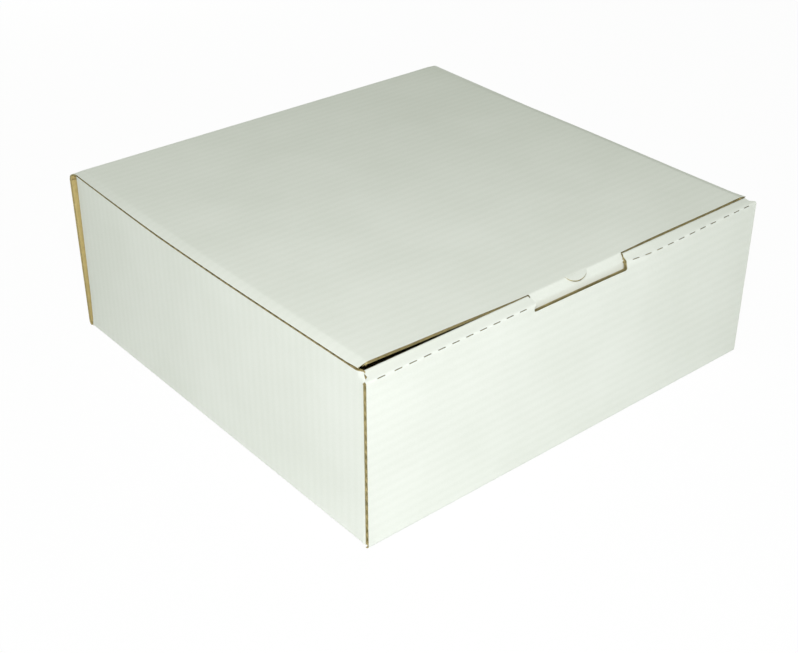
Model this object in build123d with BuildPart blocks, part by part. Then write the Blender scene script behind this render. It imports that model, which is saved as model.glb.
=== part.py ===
from build123d import *
from math import sqrt
import os

# Folding cake box, die-cut from one sheet of corrugated board and shown with its lid closed.
# Millimetres. The origin is the middle of the underside, +Z is up and the front faces -Y.

# Outside of the closed box
box_width = 311.0
box_depth = 306.0
box_height = 113.0

# The board, its folds and the room between sheets that lie against each other
board = 2.5
fold_radius = 2.4
perforated_fold_radius = 1.4
layer_gap = 0.3

# Rolled-over front wall: outer wall, narrow strip on top, inner wall
crease_drop = 4.6
strip_rise = 3.2
strip_end_taper = 3.3
inner_wall_end_gap = 0.7
perforation_cut = 5.0
perforation_pitch = 10.0
perforation_width = 0.7
perforation_depth = 1.0
perforation_margin = 9.2
lug_width = 30.0
lug_offset = 80.0
lug_gap = 0.4
lug_foot = 0.4

# Notch in the front wall, which the lid's tab closes
notch_width = 73.6
notch_drop = 8.9
notch_corner_radius = 1.5

# Side walls and the corner flaps at their ends
side_wall_gap = 0.3
side_fold_width = 4.0
corner_fold_foot = 3.0
corner_flap_length = 70.0
corner_flap_foot = 7.0
corner_flap_top_drop = 9.0
corner_flap_taper = 10.0
corner_flap_tip_radius = 10.0
rear_gap = 0.6

# Lid, its folded edges that lie on the side walls, and its flaps inside them
lid_edge_inset = 0.7
lid_flap_gap = 0.4
lid_front_gap = 0.3
lid_flap_depth = 35.0
lid_flap_front_inset = 4.0
lid_flap_rear_inset = 4.0
lid_flap_taper = 8.0
hinge_gap = 0.2

# Tuck tab at the lid's front and the half-moon thumb lip cut from it
tab_side_gap = 0.8
tab_gap = 0.4
tab_bend_rise = 0.1
tab_depth = 25.0
tab_lean = 3.1
tab_corner_radius = 12.0
tab_window_gap = 5.0
lip_half_width = 9.0
lip_reach = 6.3

# Planes and levels that several pieces share
half_width = box_width / 2
half_depth = box_depth / 2
wall_inside = half_width - board
crease_height = box_height - crease_drop
notch_floor = box_height - notch_drop
corner_flap_top = box_height - corner_flap_top_drop
lid_underside = box_height - board
side_wall_top = lid_underside - side_wall_gap
pocket_back = -half_depth + 2 * board + 2 * layer_gap
inner_wall_face = pocket_back + board
inner_wall_foot = board + layer_gap
inner_wall_half = wall_inside - inner_wall_end_gap
front_flap_face = -half_depth + board + layer_gap
rear_flap_face = half_depth - board - rear_gap
corner_leg = board + fold_radius
lid_half = half_width - lid_edge_inset
lid_flap_face = wall_inside - lid_flap_gap
lid_front = inner_wall_face + lid_front_gap
lid_flap_tip = box_height - lid_flap_depth
tab_bend = (-half_depth + board + tab_gap, notch_floor + tab_bend_rise)
tab_tip = (tab_bend[0] + tab_lean, tab_bend[1] - tab_depth)
tab_window_floor = tab_tip[1] - tab_window_gap
tab_half = notch_width / 2 - tab_side_gap

# A cut runs past the faces that it opens by this much
overcut = 1.0

os.makedirs("parts", exist_ok=True)


def sheet_profile(corners, radii):
    """Section of the folded sheet, its outer face running clockwise through the corners."""
    outer = [Vector(*corner) for corner in corners]
    runs = [(end - start).normalized() for start, end in zip(outer, outer[1:])]
    inner = []
    for corner, run_in, run_out in zip(outer, runs[:1] + runs, runs + runs[-1:]):
        turned = run_in + run_out
        inward = Vector(turned.Y, -turned.X)
        inner.append(corner + inward * board / (1 + run_in.dot(run_out)))
    with BuildSketch(mode=Mode.PRIVATE) as profile:
        with BuildLine():
            Polyline(*outer, *reversed(inner), close=True)
        make_face()
        for corner, radius in zip(outer[1:-1], radii):
            fillet(profile.vertices().sort_by_distance(corner)[0], radius=radius)
    return profile.sketch_local


def crease_plane(before, corner, after, radius):
    """Plane that touches a fold from outside, halfway round it, with its x along the fold."""
    into = (Vector(*corner) - Vector(*before)).normalized()
    out = (Vector(*after) - Vector(*corner)).normalized()
    along = (into + out).normalized()
    half_turn_cos = along.dot(into)
    outward = Vector(-along.Y, along.X)
    touch = Vector(*corner) - outward * radius * (1 / half_turn_cos - 1)
    return Plane(
        origin=(0, touch.X, touch.Y),
        x_dir=(1, 0, 0),
        z_dir=(0, outward.X, outward.Y),
    )


def perforation(plane):
    """Row of short slits along a fold, on both sides of the notch."""
    first = notch_width / 2 + perforation_margin
    run = half_width - perforation_margin - first
    count = int(run // perforation_pitch) + 1
    middle = first + (count - 1) * perforation_pitch / 2
    with BuildSketch(plane, mode=Mode.PRIVATE) as slits:
        for side in (-1, 1):
            with Locations((side * middle, 0)):
                with GridLocations(perforation_pitch, perforation_pitch, count, 1):
                    Rectangle(perforation_cut, perforation_width)
    return slits.sketch


# Corners of the strip of sheet that runs from the hinge round to the inner front wall, in Y and Z
hinge_corner = (half_depth, box_height)
back_foot = (half_depth, 0)
front_foot = (-half_depth, 0)
front_crease = (-half_depth, crease_height)
front_crest = (inner_wall_face, crease_height + strip_rise)
inner_foot = (inner_wall_face, inner_wall_foot)
wrap_profile = sheet_profile(
    [hinge_corner, back_foot, front_foot, front_crease, front_crest, inner_foot],
    [fold_radius, fold_radius, perforated_fold_radius, perforated_fold_radius],
)

# What the rounded fold at the hinge leaves off the square corner
with BuildSketch(mode=Mode.PRIVATE) as hinge_round:
    with Locations((half_depth - fold_radius, box_height - fold_radius)):
        Rectangle(fold_radius + overcut, fold_radius + overcut, align=(Align.MIN, Align.MIN))
        Circle(fold_radius, mode=Mode.SUBTRACT)

# Back wall, base, outer front wall, top strip and inner front wall
with BuildPart() as wrap:
    with BuildSketch(Plane.YZ):
        add(wrap_profile)
    extrude(amount=half_width, both=True)

    # The base is narrower where the side walls fold up from it
    with BuildSketch():
        with Locations((-half_width, 0), (half_width, 0)):
            Rectangle(2 * side_fold_width, box_depth - 2 * board)
    extrude(amount=board, mode=Mode.SUBTRACT)

    # The inner wall stands between the side walls
    with BuildSketch(Plane.XY.offset(board)):
        with Locations((inner_wall_half, -half_depth + board)):
            Rectangle(
                half_width - inner_wall_half + overcut,
                inner_wall_face + half_depth - board + overcut,
                align=(Align.MIN, Align.MIN),
            )
        mirror(about=Plane.YZ)
    extrude(amount=box_height, mode=Mode.SUBTRACT)

    # The strip tapers at its ends from the full width to the inner wall's
    with BuildSketch(Plane.XY.offset(crease_height - perforated_fold_radius)):
        with BuildLine():
            Polyline(
                (half_width, -half_depth),
                (inner_wall_half, -half_depth + strip_end_taper),
                (half_width + overcut, -half_depth + strip_end_taper),
                (half_width + overcut, -half_depth),
                close=True,
            )
        make_face()
        mirror(about=Plane.YZ)
    extrude(amount=box_height, mode=Mode.SUBTRACT)

    # Notch through the outer wall and the strip, and the deeper window behind it for the tab
    with BuildSketch(Plane.XZ.offset(half_depth + overcut)):
        with Locations((0, notch_floor)):
            notch = Rectangle(notch_width, box_height, align=(Align.CENTER, Align.MIN))
        fillet(notch.vertices().group_by(Axis.Y)[0], radius=notch_corner_radius)
    extrude(amount=-(pocket_back + half_depth + overcut), mode=Mode.SUBTRACT)
    with BuildSketch(Plane.XZ.offset(-pocket_back)):
        with Locations((0, tab_window_floor)):
            window = Rectangle(notch_width, box_height, align=(Align.CENTER, Align.MIN))
        fillet(window.vertices().group_by(Axis.Y)[0], radius=tab_corner_radius)
    extrude(amount=-(board + overcut), mode=Mode.SUBTRACT)

    # Lugs on the inner wall's foot, in slots through the base
    with BuildSketch():
        with Locations(*[(side * lug_offset, pocket_back + board / 2) for side in (-1, 1)]):
            Rectangle(lug_width + 2 * lug_gap, board + 2 * lug_gap)
    extrude(amount=board, mode=Mode.SUBTRACT)
    with BuildSketch(Plane.XY.offset(lug_foot)):
        with Locations(*[(side * lug_offset, pocket_back + board / 2) for side in (-1, 1)]):
            Rectangle(lug_width, board)
    extrude(amount=inner_wall_foot - lug_foot)

    # Slits along the strip's two folds
    for before, corner, after in (
        (front_foot, front_crease, front_crest),
        (front_crease, front_crest, inner_foot),
    ):
        slits = perforation(crease_plane(before, corner, after, perforated_fold_radius))
        extrude(slits, amount=-perforation_depth, mode=Mode.SUBTRACT)

    # Rounded fold and mitre at the hinge
    with BuildSketch(Plane.YZ):
        add(hinge_round.sketch_local)
    extrude(amount=half_width, both=True, mode=Mode.SUBTRACT)
    with BuildSketch(Plane.YZ):
        with BuildLine():
            Polyline(
                (half_depth + overcut, box_height + overcut),
                (half_depth - board - overcut, lid_underside - overcut),
                (half_depth - board - overcut, box_height + overcut),
                close=True,
            )
        make_face()
    extrude(amount=half_width, both=True, mode=Mode.SUBTRACT)

# Side walls with the base edge they fold up from and the flaps round the four corners
with BuildPart() as sides:
    with BuildSketch(Plane.XZ.offset(fold_radius - rear_flap_face)):
        add(
            sheet_profile(
                [
                    (half_width, side_wall_top),
                    (half_width, 0),
                    (-half_width, 0),
                    (-half_width, side_wall_top),
                ],
                [fold_radius, fold_radius],
            )
        )
    extrude(amount=rear_flap_face - front_flap_face - 2 * fold_radius)

    # Upright folds at both ends of each wall
    with BuildSketch(Plane.XY.offset(corner_fold_foot)):
        add(
            sheet_profile(
                [
                    (half_width, front_flap_face + corner_leg),
                    (half_width, front_flap_face),
                    (half_width - corner_leg, front_flap_face),
                ],
                [fold_radius],
            )
        )
        add(
            sheet_profile(
                [
                    (half_width - corner_leg, rear_flap_face),
                    (half_width, rear_flap_face),
                    (half_width, rear_flap_face - corner_leg),
                ],
                [fold_radius],
            )
        )
        mirror(about=Plane.YZ)
    extrude(amount=side_wall_top - corner_fold_foot)

    # Above the flaps only the walls are left
    with BuildSketch(Plane.XY.offset(corner_flap_top)):
        Rectangle(2 * wall_inside, box_depth)
    extrude(amount=corner_flap_top_drop, mode=Mode.SUBTRACT)

    # Corner flaps, tapered towards their tips
    for face, inward in ((front_flap_face, -board), (rear_flap_face, board)):
        with BuildSketch(Plane.XZ.offset(-face)) as flap:
            with BuildLine():
                Polyline(
                    (half_width - fold_radius, corner_flap_foot),
                    (half_width - fold_radius, corner_flap_top),
                    (half_width - corner_flap_length, corner_flap_top - corner_flap_taper),
                    (half_width - corner_flap_length, corner_flap_foot + corner_flap_taper),
                    close=True,
                )
            make_face()
            fillet(flap.vertices().group_by(Axis.X)[0], radius=corner_flap_tip_radius)
            mirror(about=Plane.YZ)
        extrude(amount=inward)

with BuildPart() as tray:
    add(wrap.part)
    add(sides.part)
tray.part.label = "tray"

# Tuck tab: a slanted face below the lid's front crease, then the tongue behind the front wall
with BuildPart() as tab:
    tab_crease = (lid_front, box_height)
    with BuildSketch(Plane.YZ):
        add(
            sheet_profile(
                [tab_tip, tab_bend, tab_crease, (lid_front + corner_leg, box_height)],
                [perforated_fold_radius, perforated_fold_radius],
            )
        )
    extrude(amount=tab_half, both=True)
    tip_edges = tab.faces().sort_by(Axis.Z)[0].edges().filter_by(Axis.X, reverse=True)
    fillet(tip_edges, radius=tab_corner_radius)

    # The half-moon hole that the thumb lip leaves in the slanted face
    slant = (Vector(*tab_crease) - Vector(*tab_bend)).normalized()
    slant_plane = Plane(
        origin=(0, *tab_crease),
        x_dir=(1, 0, 0),
        z_dir=(0, -slant.Y, slant.X),
    )
    with BuildSketch(slant_plane):
        with BuildLine():
            ThreePointArc((-lip_half_width, 0), (0, -lip_reach), (lip_half_width, 0))
            Line((lip_half_width, 0), (-lip_half_width, 0))
        make_face()
    extrude(amount=board + overcut, both=True, mode=Mode.SUBTRACT)

with BuildPart() as lid:
    with BuildSketch(Plane.XZ.offset(-half_depth)):
        with Locations((0, lid_underside)):
            panel = Rectangle(2 * lid_half, board, align=(Align.CENTER, Align.MIN))
        fillet(panel.vertices().group_by(Axis.Y)[-1], radius=fold_radius)
        with Locations((lid_flap_face, lid_underside)):
            Rectangle(board, lid_underside - lid_flap_tip, align=(Align.MAX, Align.MAX))
        with Locations((-lid_flap_face, lid_underside)):
            Rectangle(board, lid_underside - lid_flap_tip, align=(Align.MIN, Align.MAX))
    extrude(amount=half_depth - lid_front)

    # The side flaps taper at both ends and stop short of the walls across the box
    flap_front = lid_front + lid_flap_front_inset
    flap_rear = rear_flap_face - board - lid_flap_rear_inset
    with BuildSketch(Plane.YZ):
        with BuildLine():
            Polyline(
                (lid_front - overcut, lid_underside),
                (flap_front, lid_underside),
                (flap_front + lid_flap_taper, lid_flap_tip - overcut),
                (lid_front - overcut, lid_flap_tip - overcut),
                close=True,
            )
        make_face()
        with BuildLine():
            Polyline(
                (half_depth + overcut, lid_underside),
                (flap_rear, lid_underside),
                (flap_rear - lid_flap_taper, lid_flap_tip - overcut),
                (half_depth + overcut, lid_flap_tip - overcut),
                close=True,
            )
        make_face()
    extrude(amount=half_width, both=True, mode=Mode.SUBTRACT)

    # Rounded fold and mitre at the hinge
    with BuildSketch(Plane.YZ):
        add(hinge_round.sketch_local)
    extrude(amount=half_width, both=True, mode=Mode.SUBTRACT)
    mitre_shift = hinge_gap * sqrt(2)
    with BuildSketch(Plane.YZ):
        with BuildLine():
            Polyline(
                (half_depth + overcut - mitre_shift, box_height + overcut),
                (half_depth - board - overcut - mitre_shift, lid_underside - overcut),
                (half_depth + overcut, lid_underside - overcut),
                close=True,
            )
        make_face()
    extrude(amount=half_width, both=True, mode=Mode.SUBTRACT)

    add(tab.part)

    # Thumb lip, which stays flat with the lid
    with BuildSketch(Plane.XY.offset(box_height)):
        with BuildLine():
            ThreePointArc(
                (-lip_half_width, lid_front),
                (0, lid_front - lip_reach),
                (lip_half_width, lid_front),
            )
            Line((lip_half_width, lid_front), (-lip_half_width, lid_front))
        make_face()
    extrude(amount=-board)
lid.part.label = "lid"

export_step(tray.part, "parts/tray.step")
export_step(lid.part, "parts/lid.step")
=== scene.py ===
# %% [markdown]
# # A white cake box of corrugated board
# The real box is one die-cut sheet: a white outer paper, a wavy middle paper and a brown inner paper,
# glued together and then folded. The measured solids give every size, so this lesson only has to make
# the board look like board. Each paper becomes its own thin sheet, folded along the same lines.

# %% Load the measured box
from math import cos, exp, pi, radians, sin, tan

import bmesh
import bpy
from mathutils import Matrix, Vector


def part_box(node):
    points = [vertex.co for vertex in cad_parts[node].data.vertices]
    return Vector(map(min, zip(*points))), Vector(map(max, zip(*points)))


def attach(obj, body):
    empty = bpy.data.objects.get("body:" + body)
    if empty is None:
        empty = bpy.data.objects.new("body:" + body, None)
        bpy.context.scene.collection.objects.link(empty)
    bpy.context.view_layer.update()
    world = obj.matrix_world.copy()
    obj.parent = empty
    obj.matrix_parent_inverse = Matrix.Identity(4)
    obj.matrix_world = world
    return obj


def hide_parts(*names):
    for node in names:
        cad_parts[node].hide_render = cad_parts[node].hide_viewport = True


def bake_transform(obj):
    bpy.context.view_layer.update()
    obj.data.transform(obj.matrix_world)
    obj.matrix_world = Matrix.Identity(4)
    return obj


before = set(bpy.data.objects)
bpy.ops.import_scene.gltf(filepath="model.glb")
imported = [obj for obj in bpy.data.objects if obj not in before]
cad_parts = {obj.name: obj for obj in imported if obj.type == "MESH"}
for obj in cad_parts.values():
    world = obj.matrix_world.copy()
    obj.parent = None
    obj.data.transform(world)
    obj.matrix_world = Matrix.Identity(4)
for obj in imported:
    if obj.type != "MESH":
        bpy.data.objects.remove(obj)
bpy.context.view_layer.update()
mm = 0.001
_, tray_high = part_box("tray")
lid_low, lid_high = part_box("lid")
half_width = tray_high.x
half_depth = tray_high.y
lid_top = lid_high.z
lid_half = lid_high.x
flap_tip = lid_low.z
print("box", [round(2 * half_width / mm, 1), round(2 * half_depth / mm, 1), round(lid_top / mm, 1)], "mm")

# %% [markdown]
# ## Camera
# The photograph looks down on the front left corner. Its lens and place were found from the box's own
# edges, so the camera is set by an azimuth, an elevation and a distance from one aimed point.

# %% Camera
view_azimuth = radians(-39.869)
view_elevation = radians(31.278)
view_distance = 804.8 * mm
view_target = Vector((-54.1, -56.9, 56.0)) * mm
view_back = Vector(
    (
        sin(view_azimuth) * cos(view_elevation),
        -cos(view_azimuth) * cos(view_elevation),
        sin(view_elevation),
    )
)
bpy.ops.object.camera_add(location=view_target + view_back * view_distance)
camera = bpy.context.object
camera.rotation_euler = view_back.to_track_quat("Z", "Y").to_euler()
camera.data.sensor_width = 36
camera.data.lens = 60.12
bpy.context.scene.camera = camera
print("camera at", [round(value / mm) for value in camera.location], "mm")

# %% [markdown]
# ## The board
# Corrugated board is counted by its flutes: this one has a wave about every six millimetres. The papers
# are thin, so what gives the board its thickness is the wave between them. A fold is rounded outside and
# tight inside, and a perforated fold is sharper than a plain one.

# %% Sizes of the board and its folds
board = 2.5 * mm
paper = 0.3 * mm
medium = 0.2 * mm
flute_pitch = 6.1 * mm
wave_height = board / 2 - paper - medium / 2
fold_radius = 2.4 * mm
perforated_fold_radius = 1.4 * mm
tightest_fold = 0.2 * mm
layer_gap = 0.3 * mm
lid_underside = lid_top - board


def radius_at(radius, depth):
    """A fold's radius at some depth in the board, never quite sharp."""
    return max(radius - depth, tightest_fold)


print("papers", paper / mm, "mm, waves", round(2 * wave_height / mm, 2), "mm high")

# %% [markdown]
# ## Tools for modelling by hand
# In Blender's window you would click an edge and drag it. A script has no mouse, so it says where the
# edge lies instead. These helpers open a mesh and pick its vertices, edges or faces by their middle.

# %% Open a mesh and pick in it
tiny = 0.02 * mm


def make_active(piece):
    bpy.ops.object.select_all(action="DESELECT")
    piece.select_set(True)
    bpy.context.view_layer.objects.active = piece


def open_mesh(piece):
    make_active(piece)
    bpy.ops.object.mode_set(mode="EDIT")


def close_mesh():
    bpy.ops.object.mode_set(mode="OBJECT")


def pick(kind, where):
    """Selects the vertices, edges or faces of the open mesh whose middle lies where asked."""
    mesh = bpy.context.object.data
    shape = bmesh.from_edit_mesh(mesh)
    bpy.ops.mesh.select_all(action="DESELECT")
    bpy.ops.mesh.select_mode(type=kind)
    items = {"VERT": shape.verts, "EDGE": shape.edges, "FACE": shape.faces}[kind]
    for item in items:
        corners = [item.co] if kind == "VERT" else [corner.co for corner in item.verts]
        middle = sum(corners, Vector()) / len(corners)
        item.select_set(bool(where(*middle)))
    shape.select_flush_mode()
    bmesh.update_edit_mesh(mesh)


def near(value, target):
    return abs(value - target) < tiny


print("picks within", tiny / mm, "mm")

# %% [markdown]
# Folding a sheet needs few moves. A panel is pulled out of an edge by an extrusion, a fold is rounded by
# a bevel, and scoring cuts new edges into the sheet so that it can bend there later.

# %% Pull, score, round and apply


def pull(step):
    """Extrudes what is picked by one step, and leaves the new edge picked."""
    bpy.ops.mesh.extrude_region_move(TRANSFORM_OT_translate={"value": step})


def score(axis, places):
    """Cuts the open sheet along planes across one axis, so that it has edges there."""
    normal = Vector((axis == "X", axis == "Y", axis == "Z"))
    for place in places:
        bpy.ops.mesh.select_all(action="SELECT")
        bpy.ops.mesh.bisect(plane_co=normal * place, plane_no=normal)


def round_fold(radius, turn, where):
    """Bevels the picked fold so that it gets this radius on its way round the turn."""
    pick("EDGE", where)
    bpy.ops.mesh.bevel(offset=radius * tan(turn / 2), segments=6, affect="EDGES")


def apply(piece, kind, **settings):
    make_active(piece)
    modifier = piece.modifiers.new(kind.lower(), kind)
    for name, value in settings.items():
        setattr(modifier, name, value)
    bpy.ops.object.modifier_apply(modifier=modifier.name)


print("ready to fold")

# %% [markdown]
# Every panel starts as a flat plane of the right size. Where a panel goes next is written as a folded
# line, the section of the sheet, and the deeper papers follow the same line moved into the board.

# %% Flat sheets and folded lines


def lay_sheet(name, low, high, height):
    """A flat sheet between two corners, from a plane, left open for modelling."""
    bpy.ops.object.select_all(action="DESELECT")
    bpy.ops.mesh.primitive_plane_add(size=1)
    sheet = bpy.context.object
    sheet.name = name
    sheet.scale = (high[0] - low[0], high[1] - low[1], 1)
    sheet.location = ((high[0] + low[0]) / 2, (high[1] + low[1]) / 2, height)
    bpy.ops.object.transform_apply(location=True, rotation=True, scale=True)
    open_mesh(sheet)
    return sheet


def inset(path, depth):
    """The same folded line, deeper in the board: each corner moves to the right of its run."""
    points = [Vector(point) for point in path]
    runs = [(after - before).normalized() for before, after in zip(points, points[1:])]
    moved = []
    for point, run_in, run_out in zip(points, runs[:1] + runs, runs + runs[-1:]):
        turned = run_in + run_out
        moved.append(point + Vector((turned.y, -turned.x)) * depth / (1 + run_in.dot(run_out)))
    return moved


def turn_at(path, corner):
    return (path[corner] - path[corner - 1]).angle(path[corner + 1] - path[corner])


print("a square corner turns", round(turn_at(inset([(0, 0), (1, 0), (1, 1)], 0), 1) / radians(1)), "degrees")

# %% [markdown]
# ## Finishes
# The board has four looks: the smooth white outer paper with the flutes showing faintly through, the brown
# kraft paper inside, the wavy paper between them, and the raw edge where the die cut it. They are node
# materials. Wiring sums node by node is slow to read, so a small class lets them stand as arithmetic.


# %% Shader arithmetic
class Wire:
    """A node's output that takes part in sums. node() is the one place that makes nodes."""

    def __init__(self, tree, socket=None):
        self.tree = tree
        self.socket = socket

    def node(self, kind, settings=None, inputs=None, out=0):
        made = self.tree.nodes.new(kind)
        for name, value in (settings or {}).items():
            setattr(made, name, value)
        for name, value in (inputs or {}).items():
            if isinstance(value, Wire):
                self.tree.links.new(value.socket, made.inputs[name])
            else:
                made.inputs[name].default_value = value
        return Wire(self.tree, made.outputs[out] if made.outputs else None)

    def math(self, operation, *values):
        return self.node("ShaderNodeMath", {"operation": operation}, dict(enumerate(values)))

    def __add__(self, other):
        return self.math("ADD", self, other)

    def __mul__(self, other):
        return self.math("MULTIPLY", self, other)

    __radd__ = __add__
    __rmul__ = __mul__

    def mix(self, low, high):
        """A colour between two, by this value."""
        return self.node("ShaderNodeMix", {"data_type": "RGBA"}, {0: self, 6: low, 7: high}, 2)

    def between(self, low, high):
        """0 below the low value and 1 above the high one, with a smooth step."""
        settings = {"interpolation_type": "SMOOTHSTEP"}
        return self.node("ShaderNodeMapRange", settings, {"Value": self, "From Min": low, "From Max": high})


print("a Wire adds, multiplies and mixes sockets")

# %% [markdown]
# All papers share a start: a matt Principled shader, and noise that reads the piece's own coordinates,
# so that the grain stays on the card when the lid opens.

# %% Paper grain


def grain(wire, place, scale, detail=3.0, stretch=(1, 1, 1)):
    """Noise from 0 to 1, with its scale in lumps a metre."""
    stretched = wire.node("ShaderNodeMapping", None, {"Vector": place, "Scale": stretch})
    return wire.node("ShaderNodeTexNoise", None, {"Vector": stretched, "Scale": scale, "Detail": detail})


def new_finish(name, specular):
    material = bpy.data.materials.new(name)
    material.use_nodes = True
    shader = material.node_tree.nodes["Principled BSDF"]
    shader.inputs["Specular IOR Level"].default_value = specular
    wire = Wire(material.node_tree)
    place = wire.node("ShaderNodeTexCoord", out="Object")
    return material, shader, wire, place


def connect(wire, shader, name):
    wire.tree.links.new(wire.socket, shader.inputs[name])


def emboss(wire, shader, height, strength):
    """Turns a height in metres into a bump on the surface."""
    bump = wire.node("ShaderNodeBump", None, {"Height": height, "Distance": 1.0, "Strength": strength})
    connect(bump, shader, "Normal")


print("grain ready")

# %% [markdown]
# ### White outer paper
# The outer paper is bleached and matt, a little green-grey. The glue lines of the wave pull it in by
# a hair, so it shows a faint washboard: each vertex carries how far it lies across the flutes. The
# washboard is a bump, and its shade is also painted faintly into the colour as stripes. Cloudy
# shades, fine fibres and a few grey flecks keep it from looking like plastic.

# %% White paper
across_name = "across_flutes"


def white_paper(name, pale, shade, fleck):
    material, shader, wire, place = new_finish(name, specular=0.25)
    across = wire.node("ShaderNodeAttribute", {"attribute_name": across_name}, out="Fac")
    wave = wire.math("SINE", across * (2 * pi / flute_pitch)) * 0.5 + 0.5
    clouds = grain(wire, place, scale=18, detail=4.0)
    fibres = grain(wire, place, scale=900, detail=2.0)
    flecks = grain(wire, place, scale=2600, detail=1.0).between(0.66, 0.78)
    # painted shade: the washboard's stripes of light and shade go faintly into the colour, besides its bump
    washboard_shade_share, cloud_share, fibre_share, fleck_share = 0.10, 0.59, 0.31, 0.12
    tone = wave * washboard_shade_share + clouds * cloud_share + fibres * fibre_share
    colour = tone.between(0.2, 0.8).mix(shade, pale)
    colour = (flecks * fleck_share).mix(colour, fleck)
    connect(colour, shader, "Base Color")
    connect(0.76 + fibres * 0.16, shader, "Roughness")
    wave_relief, fibre_relief, cloud_relief = 0.017 * mm, 0.012 * mm, 0.05 * mm
    emboss(wire, shader, wave * wave_relief + fibres * fibre_relief + clouds * cloud_relief, 1.0)
    return material


white = white_paper(
    "white_paper", pale=(0.85, 0.868, 0.825, 1), shade=(0.78, 0.803, 0.75, 1), fleck=(0.50, 0.47, 0.36, 1)
)
print("made", white.name)

# %% [markdown]
# ### Brown papers and cut edges
# Kraft paper is brown with darker fibres along the sheet. The wave is of recycled paper, greyer. A cut
# edge is crushed by the die, and is coloured a darker brown still. One function makes all three from their
# two colours.

# %% Brown papers


def brown_paper(name, light, dark, fibre_scale, contrast):
    material, shader, wire, place = new_finish(name, specular=0.2)
    clouds = grain(wire, place, scale=40, detail=4.0)
    fibres = grain(wire, place, fibre_scale, stretch=(1, 0.35, 0.35))
    cloud_share, fibre_share = 0.4, 0.6
    tone = clouds * cloud_share + fibres * fibre_share
    connect(tone.between(0.5 - contrast, 0.5 + contrast).mix(dark, light), shader, "Base Color")
    connect(0.8 + fibres * 0.15, shader, "Roughness")
    fibre_relief = 0.02 * mm
    emboss(wire, shader, fibres * fibre_relief, 0.8)
    return material


kraft = brown_paper("kraft_paper", (0.57, 0.455, 0.20, 1), (0.44, 0.345, 0.145, 1), 700, 0.25)
wave_paper = brown_paper("wave_paper", (0.58, 0.48, 0.24, 1), (0.41, 0.34, 0.16, 1), 500, 0.25)
cut_edge = brown_paper("cut_edge", (0.47, 0.40, 0.195, 1), (0.25, 0.215, 0.10, 1), 420, 0.2)
print("made", kraft.name, wave_paper.name, cut_edge.name)

# %% [markdown]
# ## Folding the tray's papers
# The tray is the base with four walls; the front wall rolls over and goes back down inside. Seen from the
# side, back wall, base and rolled front wall are one folded line. It could be drawn as a curve and given
# a width, but a plane pulled up and over run by run is how the box is really folded.

# %% Fold lines of the tray
hinge_band = 4.4 * mm
crease_height = lid_top - 4.6 * mm
inner_wall_face = -half_depth + 3 * board + 2 * layer_gap
inner_wall_half = half_width - board - 0.7 * mm
strip_rise = 3.2 * mm
wrap_path = [
    (half_depth, lid_top - hinge_band),
    (half_depth, 0),
    (-half_depth, 0),
    (-half_depth, crease_height),
    (inner_wall_face, crease_height + strip_rise),
    (inner_wall_face, board + layer_gap),
]
print("the long sheet folds in", len(wrap_path) - 1, "runs")

# %% [markdown]
# Each pull extrudes the last edge by one run of that line, and the folds are bevelled once all runs are
# there. The strip on top narrows on its way, so that the inner wall fits between the side walls.

# %% Fold the long sheet
strip_taper = (0.14, 0.41)


def fold_wrap(name, depth):
    """Base, back wall, front wall, strip and inner wall, in one sheet."""
    path = inset(wrap_path, depth)
    start, back_foot, front_foot, crease, crest, end = path
    half = half_width - depth
    sheet = lay_sheet(name, (-half, front_foot.x), (half, back_foot.x), depth)
    pick("EDGE", lambda x, y, z: near(y, back_foot.x))
    bpy.ops.transform.resize(value=(half_width / half, 1, 1))
    pull((0, 0, start.y - back_foot.y))
    pick("EDGE", lambda x, y, z: near(y, front_foot.x))
    bpy.ops.transform.resize(value=(half_width / half, 1, 1))
    pull((0, 0, crease.y - front_foot.y))
    taper_start, taper_end = [crease.lerp(crest, share) for share in strip_taper]
    pull((0, *(taper_start - crease)))
    pull((0, *(taper_end - taper_start)))
    bpy.ops.transform.resize(value=(inner_wall_half / half_width, 1, 1))
    pull((0, *(crest - taper_end)))
    pull((0, 0, end.y - crest.y))
    feet = (front_foot.x, back_foot.x)
    wide, tight = radius_at(fold_radius, depth), radius_at(perforated_fold_radius, depth)
    round_fold(wide, pi / 2, lambda x, y, z: near(z, depth) and any(near(y, foot) for foot in feet))
    round_fold(tight, turn_at(path, 3), lambda x, y, z: near(y, crease.x) and near(z, crease.y))
    round_fold(tight, turn_at(path, 4), lambda x, y, z: near(y, crest.x) and near(z, crest.y))
    return sheet


print("the strip narrows between", strip_taper[0], "and", strip_taper[1], "of its run")

# %% [markdown]
# The inner front wall locks with two lugs that stand in slots of the base. The side walls fold up from
# strips along the base, so those strips are cut off here and come back with the walls.

# %% Base and lugs
side_fold_width = 4 * mm
lug_offset = 80 * mm
lug_half = 15 * mm
lug_gap = 0.4 * mm
lug_foot = 0.4 * mm


def narrow_base(depth):
    """Cuts the strips off the base where the side walls fold up."""
    edge = half_width - side_fold_width
    row = half_depth - board - 2 * tiny
    score("X", (-edge, edge))
    score("Y", (-row, row))
    pick("FACE", lambda x, y, z: abs(x) > edge and abs(y) < row and near(z, depth))
    bpy.ops.mesh.delete(type="FACE")


def score_lugs(half):
    score("X", [side * (lug_offset + reach) for side in (-1, 1) for reach in (-half, half)])


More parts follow.
